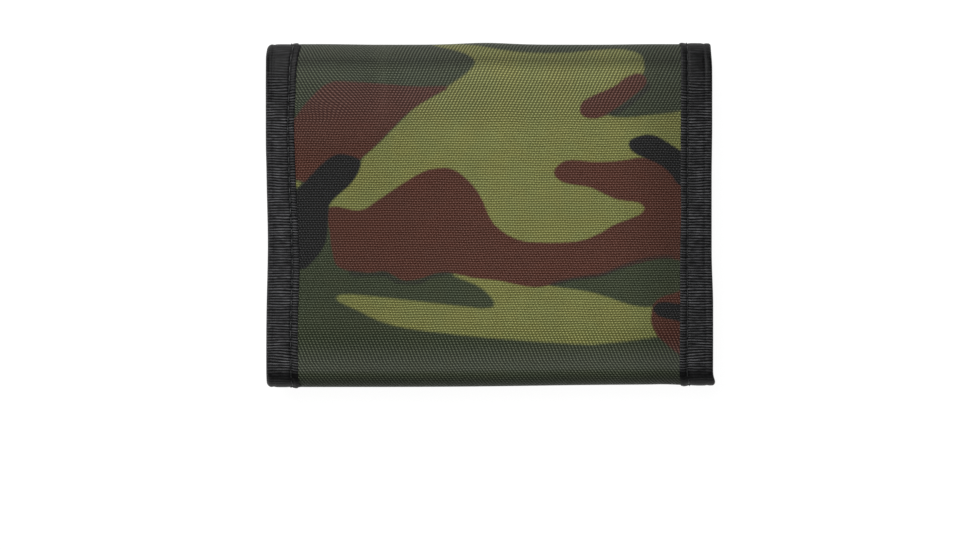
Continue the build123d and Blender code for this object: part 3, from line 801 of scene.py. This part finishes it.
def side_binding(kind, edge, sign, near, far, material, sewing, ends=(0.0, 0.0)):
    """A binding along one long edge, with its seam on both faces. Plugs close it at the strip's two ends."""
    seam = edge - sign * (TAPE_WIDTH - STITCH_IN)
    shift = sag_of_edge(edge, sign) if abs(edge) > HALF_WIDTH - 1 else None
    section = binding_loop(edge, sign, near, far)
    inside = sorted((edge - sign * TAPE_WIDTH, edge - sign * TAPE))
    plug = rounded_loop(*inside, (near + TAPE, far - TAPE), 0.1)

    def build(builder, s0, s1):
        extrude(builder, section, strip_steps(s0, s1, 1.5), uv_around=True, shift=shift)
        for tip, inwards in ((0.0, 1), (STRIP_LENGTH, -1)):
            if tip in (s0, s1):
                extrude(builder, plug, [tip + inwards * 0.04, tip + inwards * (TAPE - 0.06)], uv_around=True)
        for depth in (near + 0.1, far - 0.1):
            stitches(builder, seam, s0 + 0.6, s1 - 0.6, depth, shift=shift)

    strip_pieces(kind, build, [material, sewing], ends)


def end_binding(node, s_edge, sign, body, material, sewing):
    """The binding across a flap's free edge, between the side bindings."""
    builder = Builder()
    low, high = -HALF_WIDTH + TAPE_WIDTH, LINING_EDGE
    section = binding_loop(s_edge, sign, 0.0, LEAF_OUT)
    extrude(builder, section, steps(low, high, 3.0), across="s", uv_around=True)
    seam = s_edge - sign * (TAPE_WIDTH - STITCH_IN)
    for depth in (0.1, LEAF_OUT - 0.1):
        stitches(builder, seam, low + 0.6, high - 0.6, depth, "s")
    panel_piece(builder, node, body, [material, sewing])


# --- pieces that lie on one panel
def on_outer(y):
    return np.asarray(y) - OUTER_END


def on_middle(y):
    return FACE_CENTRE - np.asarray(y)


def on_inner(y):
    return STARTS[8] + np.asarray(y) + STRAIGHT


def panel_depths(node, panel):
    """(near, far) depths of a CAD node that lies on a panel."""
    low, high = node_box(node)
    if panel is on_middle:
        return THICKNESS - high[2], THICKNESS - low[2]
    base = INNER_Z if panel is on_inner else 0.0
    return low[2] - base, high[2] - base


def extent(node, panel):
    """((x0, x1), (s0, s1), (near, far)) of a CAD node on a panel, on the flat strip."""
    low, high = node_box(node)
    run = sorted((float(panel(low[1])), float(panel(high[1]))))
    return (low[0], high[0]), run, panel_depths(node, panel)


def panel_piece(builder, node, body, materials):
    """The one piece that stands for a CAD node and rides its body."""
    piece = builder.make(node + "_cover", materials)
    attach(piece, body)
    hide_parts(node)


def rounded_loop(low, high, depths, radius, fine=1.5):
    """A section whose corners are round: a folded edge, a bead or a small bar."""
    near, far = depths
    radius = min(radius, (far - near) / 2, (high - low) / 2)
    loop = []
    corners = ((low + radius, near + radius, 180), (high - radius, near + radius, 270),
               (high - radius, far - radius, 0), (low + radius, far - radius, 90))
    for p, d, start in corners:
        for turn in np.radians(start + np.linspace(0, 90, 5)):
            loop.append((p + radius * math.cos(turn), d + radius * math.sin(turn)))
    line = []
    for a, b in zip(loop, loop[1:] + loop[:1]):
        count = max(1, int(round(math.dist(a, b) / fine)))
        line += [(a[0] + (b[0] - a[0]) * k / count, a[1] + (b[1] - a[1]) * k / count) for k in range(count)]
    return line


def swell(xs, run, height):
    """Lifts a pocket's cloth off what lies under it, most in its middle."""
    def shift(rings):
        across = np.clip((rings[:, :, 0] - xs[0]) / (xs[1] - xs[0]), 0, 1)
        along = np.clip((rings[:, :, 1] - run[0]) / (run[1] - run[0]), 0, 1)
        rings[:, :, 2] += height * np.sin(math.pi * across) ** 0.8 * np.sin(math.pi * along) ** 0.8
        return rings

    return shift


def turned_down(edge, sign, depths, thick, radius, top, lip):
    """The section of a layer that lies on top and is turned down to its ground at p = edge.

    top lists distances in from the edge, and lip the points of the layer's free edge.
    """
    near, far = depths
    turn = np.linspace(0, math.pi / 2, 5)
    bend = [(edge - sign * radius * (1 - math.cos(t)), far - radius * (1 - math.sin(t))) for t in turn]
    outside = [(edge, near)] + bend + [(edge - sign * p, far) for p in top]
    inside = edge - sign * thick
    return outside + lip + [(inside, far - thick), (inside, near)]


def card_pockets(cloth, tape, sewing):
    """Three stepped card pockets, each with a bound mouth that gapes a little, and tapes at their ends."""
    for number in (1, 2, 3):
        node = f"card_pocket_{number}"
        xs, run, depths = extent(node, on_middle)
        gape = swell((xs[0], xs[1] + 14.0), run, 0.32)
        cover = Builder()
        extrude(cover, rounded_loop(*xs, depths, 0.18, 1.6), steps(*run, 2.0), shift=gape)
        panel_piece(cover, node, MIDDLE_BODY, [cloth])

        xs, run, depths = extent(f"{node}_binding", on_middle)
        mouth = Builder()
        section = binding_loop(xs[1], 1, *depths, xs[1] - xs[0], MOUTH_TAPE)
        extrude(mouth, section, steps(*run, 1.5), uv_around=True, shift=gape)
        for depth in (depths[0] + 0.1, depths[1] - 0.1):
            stitches(mouth, xs[0] + STITCH_IN, run[0] + 0.8, run[1] - 0.8, depth, shift=gape)
        panel_piece(mouth, f"{node}_binding", MIDDLE_BODY, [tape, sewing])
    for end in ("top", "bottom"):
        pocket_end_tape(f"card_pocket_{end}_tape", tape, sewing)


def pocket_end_tape(node, tape, sewing):
    """The narrow tape over the pockets' stepped ends. It comes down a step after each mouth."""
    xs, run, depths = extent(node, on_middle)
    mouths = [node_box(f"card_pocket_{k}_binding")[1][0] for k in (1, 2, 3)]
    tops = [panel_depths(f"card_pocket_{k}_binding", on_middle)[1] for k in (1, 2, 3)]

    def top_at(x):
        level = tops[0]
        for mouth, lower, upper in zip(mouths[1:], tops, tops[1:]):
            level = level + (upper - lower) * smooth(mouth - x, -1.2, 1.2)
        return level

    section = np.array(rounded_loop(run[0], run[1], (0.0, 1.0), 0.15, 0.25))

    def shift(rings):
        x = rings[:, :, 0]
        rings[:, :, 2] = depths[0] + rings[:, :, 2] * (top_at(x) - depths[0])
        return rings

    builder = Builder()
    extrude(builder, section, steps(*xs, 1.0), across="s", uv_around=True, shift=shift)
    panel_piece(builder, node, MIDDLE_BODY, [tape, sewing])


def closure_base(builder, xs, run, depths, surface):
    """The woven ground of a hook or loop strip, sewn down along its two long sides."""
    extrude(builder, rounded_loop(*xs, depths, 0.15, 2.0), steps(*run, 2.0))
    for s in (run[0] + 1.2, run[1] - 1.2):
        stitches(builder, s, xs[0] + 1.5, xs[1] - 1.5, surface, "s")


def wire(builder, path, radius, sides=4):
    """A thin round wire along a path of (x, s, depth)."""
    path = np.asarray(path, float)
    along = np.gradient(path, axis=0)
    along /= np.linalg.norm(along, axis=1)[:, None]
    out = np.cross(along, (0.31, 0.95, 0.05))
    out /= np.linalg.norm(out, axis=1)[:, None]
    up = np.cross(out, along)
    turn = np.linspace(0, 2 * math.pi, sides, endpoint=False)[None, :, None]
    builder.tube(path[:, None] + radius * (np.cos(turn) * out[:, None] + np.sin(turn) * up[:, None]))


CLOSURE_GROUND = 0.35  # the thickness of a closure strip without its hooks or loops


def hook_side(hook, sewing):
    """Rows of stiff little hooks that stand on the outer flap's lining."""
    xs, run, (near, _) = extent("hook_strip", on_outer)
    ground = near + CLOSURE_GROUND
    builder = Builder()
    closure_base(builder, xs, run, (near, ground), ground)
    turn = np.radians(np.linspace(0, 200, 6))
    for row, s in enumerate(np.arange(run[0] + 2.4, run[1] - 2.2, 1.2)):
        lean = 0.32 if row % 2 else -0.32
        for x in np.arange(xs[0] + 1.6, xs[1] - 1.6, 1.7):
            stem = [(x, s, ground - 0.05), (x, s, ground + 0.35)]
            curl = [(x + lean * (1 - math.cos(t)), s, ground + 0.7 + 0.28 * math.sin(t)) for t in turn]
            wire(builder, stem + curl, 0.09)
    panel_piece(builder, "hook_strip", OUTER_BODY, [hook, sewing])


def loop_side(loop, sewing):
    """A brushed pile of soft loops on the inner flap's shell."""
    xs, run, (_, far) = extent("loop_strip", on_inner)
    ground = far - CLOSURE_GROUND
    builder = Builder()
    closure_base(builder, xs, run, (ground, far), ground)
    chance = np.random.default_rng(7)
    turn = np.linspace(0, math.pi, 7)
    for s in np.arange(run[0] + 1.0, run[1] - 0.9, 0.85):
        for x in np.arange(xs[0] + 1.0, xs[1] - 0.9, 1.15):
            heading = chance.uniform(0, math.pi)
            across = chance.uniform(0.45, 0.75) * np.cos(turn)
            rise = chance.uniform(0.5, 0.75) * np.sin(turn)
            path = [x + across * math.cos(heading), s + across * math.sin(heading), ground - rise]
            wire(builder, np.stack(path, 1), 0.06, 3)
    panel_piece(builder, "loop_strip", INNER_BODY, [loop, sewing])


def card_window(clear, tape, sewing):
    """The clear sheet on the outer flap, its tape on three sides and its bound mouth."""
    xs, run, depths = extent("id_window", on_outer)

    def ripple(rings):
        x, s = rings[:, :, 0], rings[:, :, 1]
        free = np.sin(math.pi * (s - run[0]) / (run[1] - run[0]))
        rings[:, :, 2] += 0.07 * np.sin(x / 7.0 + 1.1 * np.sin(s / 11.0)) * free
        return rings

    sheet = Builder()
    extrude(sheet, rounded_loop(*xs, depths, 0.1, 1.5), steps(*run, 1.5), shift=ripple)
    panel_piece(sheet, "id_window", OUTER_BODY, [clear])

    xs, run, depths = extent("id_window_frame", on_outer)
    mouth_xs, mouth_run, mouth_depths = extent("id_window_mouth_binding", on_outer)
    width = mouth_xs[1] - mouth_xs[0]
    far = depths[1]

    def side(edge, sign):
        lip = [(edge - sign * width, far - TAPE)]
        return turned_down(edge, sign, depths, TAPE, 0.35, steps(0.6, width, 0.6), lip)

    edging = Builder()
    extrude(edging, side(xs[0], -1), steps(*run, 1.5), uv_around=True)
    stitches(edging, xs[0] + width - 1.2, run[0] + 1, run[1] - 1, far)
    for edge, sign in ((run[0], -1), (run[1], 1)):
        sweep = steps(xs[0] + width, mouth_xs[0], 1.5)
        extrude(edging, side(edge, sign), sweep, across="s", uv_around=True)
        stitches(edging, edge - sign * (width - 1.2), xs[0] + width, mouth_xs[0], far, "s")
    panel_piece(edging, "id_window_frame", OUTER_BODY, [tape, sewing])

    mouth = Builder()
    section = binding_loop(mouth_xs[1], 1, *mouth_depths, width, MOUTH_TAPE)
    extrude(mouth, section, steps(*mouth_run, 1.5), uv_around=True)
    stitches(mouth, mouth_xs[0] + 1.2, mouth_run[0] + 0.8, mouth_run[1] - 0.8, mouth_depths[1] - 0.05)
    panel_piece(mouth, "id_window_mouth_binding", OUTER_BODY, [tape, sewing])


FRONT_CLOTH = 0.5  # the thickness of the coin pocket's front
COIL_PITCH = 0.95


def pocket_front(builder, xs, depths, edge, lip, sign, puff=None):
    """A cloth that stands on the flap at edge and runs over the coin pocket to its lip beside the zip."""
    far = depths[1]
    reach = abs(edge - lip)
    top = steps(reach * 0.04 + 0.5, reach - 0.3, 1.2)
    free_edge = [(lip, far - 0.15), (lip, far - FRONT_CLOTH)]
    section = turned_down(edge, sign, depths, FRONT_CLOTH, FRONT_CLOTH, top, free_edge)
    extrude(builder, section, steps(*xs, 1.6), across="s", shift=puff)
    for s in (lip + sign * 1.2, edge - sign * 1.5):
        stitches(builder, s, xs[0] + 1, xs[1] - 1, far + 0.02, "s", puff)


def coin_pocket(cloth, sewing):
    """The front of the zipped pocket on the inner flap: a panel with its ends, and a strip beyond the zip."""
    xs, run, (near, far) = extent("coin_pocket_panel", on_inner)
    strip_run = extent("coin_pocket_strip", on_inner)[1]
    _, tape_run, tape_depths = extent("zip_tape_lower", on_inner)
    zip_line = (tape_run[1] + extent("zip_tape_upper", on_inner)[1][0]) / 2
    panel_end = zip_line - (strip_run[0] - zip_line)
    panel = Builder()
    puff = swell(xs, (run[0] - 2.0, panel_end + 14.0), 0.7)
    pocket_front(panel, xs, (near, far), run[0], panel_end, -1, puff)
    for x0, x1 in ((xs[0], xs[0] + FRONT_CLOTH), (xs[1] - FRONT_CLOTH, xs[1])):
        for s0, s1, top in ((run[0] + 0.6, tape_run[0], far - FRONT_CLOTH - 0.02),
                            (tape_run[0], strip_run[1] - 0.6, tape_depths[0])):
            extrude(panel, rounded_loop(x0, x1, (near, top), 0.1), steps(s0, s1, 2.0))
    panel_piece(panel, "coin_pocket_panel", INNER_BODY, [cloth, sewing])

    strip = Builder()
    pocket_front(strip, xs, (near, far), strip_run[1], strip_run[0], 1)
    panel_piece(strip, "coin_pocket_strip", INNER_BODY, [cloth, sewing])


def zip_sides(zip_cloth, nylon, sewing):
    """The zip's two tapes, and its two coils half a turn apart."""
    tape_xs, _, tape_depths = extent("zip_tape_lower", on_inner)
    for side, phase in (("lower", 0.0), ("upper", math.pi)):
        tape_run = extent(f"zip_tape_{side}", on_inner)[1]
        tape = Builder()
        extrude(tape, rounded_loop(*tape_run, tape_depths, 0.15, 0.8), steps(*tape_xs, 2.0), across="s")
        panel_piece(tape, f"zip_tape_{side}", INNER_BODY, [zip_cloth])
        zip_coil(f"zip_coil_{side}", phase, nylon, sewing)


def zip_coil(node, phase, nylon, sewing):
    """A coil wound round a straight core."""
    xs, run, depths = extent(node, on_inner)
    middle, half = sum(run) / 2, (run[1] - run[0]) / 2
    level, rise = sum(depths) / 2, (depths[1] - depths[0]) / 2
    turns = int((xs[1] - xs[0]) / COIL_PITCH)
    along = np.linspace(0, 1, turns * 14 + 1)
    angle = 2 * math.pi * turns * along + phase
    path = [xs[0] + 0.25 + (xs[1] - xs[0] - 0.5) * along,
            middle + (half - 0.16) * np.cos(angle), level + (rise - 0.22) * np.sin(angle)]
    builder = Builder()
    wire(builder, np.stack(path, 1), 0.21, 6)
    core = rounded_loop(middle - 0.25, middle + 0.25, (level - 0.2, level + 0.2), 0.2, 0.3)
    extrude(builder, core, steps(*xs, 3.0), across="s")
    panel_piece(builder, node, INNER_BODY, [nylon, sewing])


def zip_stops(metal):
    """Three small clips bent over the coils' ends."""
    for node in ("zip_open_end_stop", "zip_closed_end_stop_lower", "zip_closed_end_stop_upper"):
        xs, run, (near, far) = extent(node, on_inner)
        builder = Builder()
        section = rounded_loop(xs[0], xs[1], (near, far), 0.3, 0.4)
        middle, half = sum(run) / 2, (run[1] - run[0]) / 2

        def crown(rings):
            share = np.clip(1 - ((rings[:, :, 1] - middle) / half) ** 4, 0, 1)
            rings[:, :, 2] = near + (rings[:, :, 2] - near) * (0.62 + 0.38 * share)
            return rings

        extrude(builder, section, steps(*run, 0.2), shift=crown)
        panel_piece(builder, node, INNER_BODY, [metal])


def metal_nodes(metal):
    """The slider and its pull keep their CAD shapes."""
    for node in ("zip_slider", "zip_pull"):
        slots = frame["nodes"][node].data.materials
        for index in range(len(slots)):
            slots[index] = metal
        if not slots:
            slots.append(metal)


# --- stage
FLOOR_HALF = 3.0
FLOOR_LEVEL = -0.0002
WORLD_LIGHT = 0.08
LAMPS = (  # name, place, size and power
    ("key", (-0.35, 0.5, 1.1), 0.8, 15.5),
    ("fill", (0.1, -0.35, 1.25), 0.6, 3.0),
    ("back", (-0.3, 1.2, 0.2), 0.7, 8.0),
)
VIEW_WIDTH = 268.2 * MM  # the width that the picture covers at the wallet's upper face
CAMERA_HEIGHT = 1.6
SENSOR = 36.0
RISE = 0.06135  # how far the wallet's middle is above the picture's, as a share of its width


def make_floor():
    corners = [(x * FLOOR_HALF, y * FLOOR_HALF, 0) for x, y in ((-1, -1), (1, -1), (1, 1), (-1, 1))]
    mesh = bpy.data.meshes.new("floor")
    mesh.from_pydata(corners, [], [(0, 1, 2, 3)])
    mesh.materials.append(floor_material())
    floor = bpy.data.objects.new("floor", mesh)
    floor.location.z = FLOOR_LEVEL
    bpy.context.scene.collection.objects.link(floor)


def make_lights():
    world = bpy.data.worlds.new("studio")
    world.use_nodes = True
    background = world.node_tree.nodes["Background"]
    background.inputs[0].default_value = (1, 1, 1, 1)
    background.inputs[1].default_value = WORLD_LIGHT
    bpy.context.scene.world = world
    bpy.context.scene.view_settings.view_transform = "Standard"
    bpy.context.scene.view_settings.look = "None"
    for name, place, size, power in LAMPS:
        lamp = bpy.data.lights.new(name, "AREA")
        lamp.size = size
        lamp.energy = power
        light = bpy.data.objects.new(name, lamp)
        light.location = place
        light.rotation_euler = (-Vector(place)).to_track_quat("-Z", "Y").to_euler()
        bpy.context.scene.collection.objects.link(light)


def make_camera():
    lens = bpy.data.cameras.new("camera")
    lens.sensor_width = SENSOR
    lens.lens = SENSOR * (CAMERA_HEIGHT - THICKNESS * MM) / VIEW_WIDTH
    lens.shift_y = -RISE
    camera = bpy.data.objects.new("camera", lens)
    camera.location = (0, 0, CAMERA_HEIGHT)
    bpy.context.scene.collection.objects.link(camera)
    bpy.context.scene.camera = camera


# --- everything
def main():
    make_floor()
    make_lights()
    make_camera()
    camo, tape, sewing = camo_cloth(), ribbed_tape(), thread()
    lining = black_cloth("lining_cloth", 0.4, 0.45, BLACK_CLOTH)
    edge = HALF_WIDTH - TAPE - 0.1
    cloth_strip("shell", (-edge, edge), SHELL, (0.7, 0.7), camo, print_fields)
    cloth_strip("lining", (-edge, LINING_EDGE - TAPE), LINING[::-1], (2.5, 2.0), lining)
    side_binding("left_binding", -HALF_WIDTH, -1, 0.0, LEAF_OUT, tape, sewing)
    side_binding("right_binding", HALF_WIDTH, 1, 0.0, SHELL[1] + TAPE, tape, sewing)
    side_binding("lining_binding", LINING_EDGE, 1, LINING[0] - TAPE, LEAF_OUT, tape, sewing,
                 (TAPE_WIDTH, TAPE_WIDTH))
    end_binding("outer_flap_end_binding", 0.0, -1, OUTER_BODY, tape, sewing)
    end_binding("inner_flap_end_binding", STRIP_LENGTH, 1, INNER_BODY, tape, sewing)
    pocket = black_cloth("pocket_cloth", 0.45, 0.5, BLACK_CLOTH)
    metal = moulded("black_metal", linear(46, 46, 48), 0.32, 0.6, 0.9)
    card_pockets(pocket, tape, sewing)
    card_window(vinyl(), tape, sewing)
    hook_side(moulded("hook_tape", linear(30, 30, 31), 0.4), sewing)
    loop_side(moulded("loop_tape", linear(26, 26, 27), 0.75, 0.2), sewing)
    coin_pocket(pocket, sewing)
    zip_sides(black_cloth("zip_tape_cloth", 0.3, 0.35, linear(30, 30, 31)),
              moulded("zip_coil_nylon", linear(24, 24, 25), 0.35), sewing)
    zip_stops(metal)
    metal_nodes(metal)


main()
